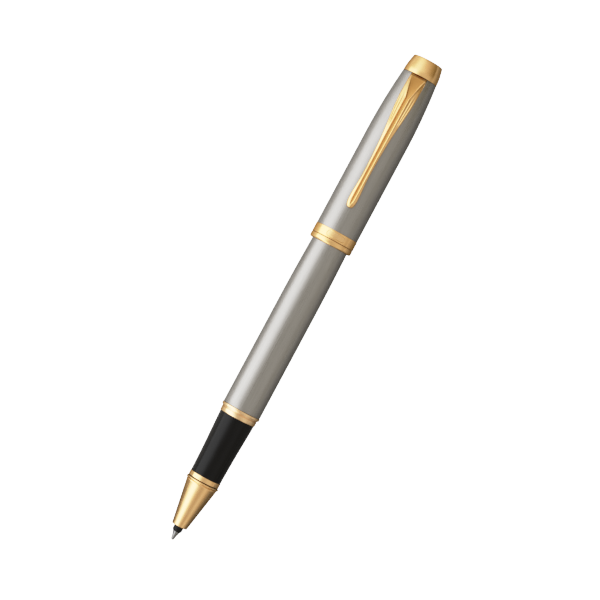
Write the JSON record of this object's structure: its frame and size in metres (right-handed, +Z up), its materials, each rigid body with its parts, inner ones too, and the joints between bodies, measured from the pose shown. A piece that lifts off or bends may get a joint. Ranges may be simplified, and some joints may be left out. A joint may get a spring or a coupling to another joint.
{
  "type": "rollerball pen",
  "caption": "Round metal pen lying on its side, pull-off cap with pocket clip pushed onto the rear of the barrel, screw-in front section with a replaceable refill.",
  "frame": {"origin": "under the middle of the pen's length, on the surface the cap's band rests on", "axes": "+X along the pen from the writing end to the cap's top, +Z up through the clip, +Y across"},
  "size_m": [0.154, 0.0128, 0.0151],
  "materials": {
    "steel": "lengthwise brushed stainless steel, clear coated",
    "gold_plate": "polished gold plate",
    "grip_plastic": "polished black",
    "holder_plastic": "moulded black",
    "liner_plastic": "moulded dark grey",
    "brass": "turned",
    "spring_wire": "drawn wire",
    "refill_body": "extruded pale grey",
    "point_metal": "turned nickel silver",
    "ball_carbide": "ground carbide",
    "fibre": "ink-soaked fibre"
  },
  "bodies": {
    "barrel": {"barrel_shell": "steel", "barrel_thread_bush": "brass", "barrel_end_plug": "steel", "refill_spring": "spring_wire"},
    "cap": {"cap_shell": "steel", "cap_band": "gold_plate", "cap_liner": "liner_plastic", "cap_top_insert": "brass", "clip_ring": "gold_plate", "finial_screw": "spring_wire", "cap_finial": "gold_plate"},
    "clip": {"clip": "gold_plate"},
    "trim_ring": {"section_trim_ring": "gold_plate"},
    "section": {"section_grip": "grip_plastic", "section_thread_sleeve": "brass", "nose_collar": "gold_plate", "nose_cone": "gold_plate"},
    "refill": {"refill_tube": "refill_body", "refill_nose_holder": "holder_plastic", "refill_point": "point_metal", "ink_feed_wick": "fibre", "ink_reservoir": "fibre", "refill_end_plug": "holder_plastic"},
    "ball": {"writing_ball": "ball_carbide"}
  },
  "joints": [
    {"name": "cap_slide", "type": "slide", "parent": "barrel", "child": "cap", "axis": [1, 0, 0], "range_m": [0, 0.04]},
    {"name": "clip_flex", "type": "hinge", "parent": "cap", "child": "clip", "pos_m": [0.07125, 0, 0.01154], "axis": [0, 1, 0], "range_deg": [0, 5], "stiffness_Nm_per_rad": 5.3},
    {"name": "section_advance", "type": "slide", "parent": "barrel", "child": "trim_ring", "axis": [-1, 0, 0], "range_m": [0, 0.0044]},
    {"name": "section_turn", "type": "hinge", "parent": "trim_ring", "child": "section", "pos_m": [-0.036, 0, 0.00644], "axis": [-1, 0, 0], "range_deg": [0, 1981]},
    {"name": "refill_float", "type": "slide", "parent": "section", "child": "refill", "axis": [1, 0, 0], "range_m": [0, 0.001], "stiffness_N_per_m": 250, "springref_m": -0.008, "deforming": ["refill_spring"]},
    {"name": "ball_roll", "type": "hinge", "parent": "refill", "child": "ball", "pos_m": [-0.07665, 0, 0.00644], "axis": [0, 1, 0], "continuous": true}
  ],
  "couplings": [
    {"joint": "section_turn", "follows": "section_advance", "rad_per_m": 7854}
  ]
}
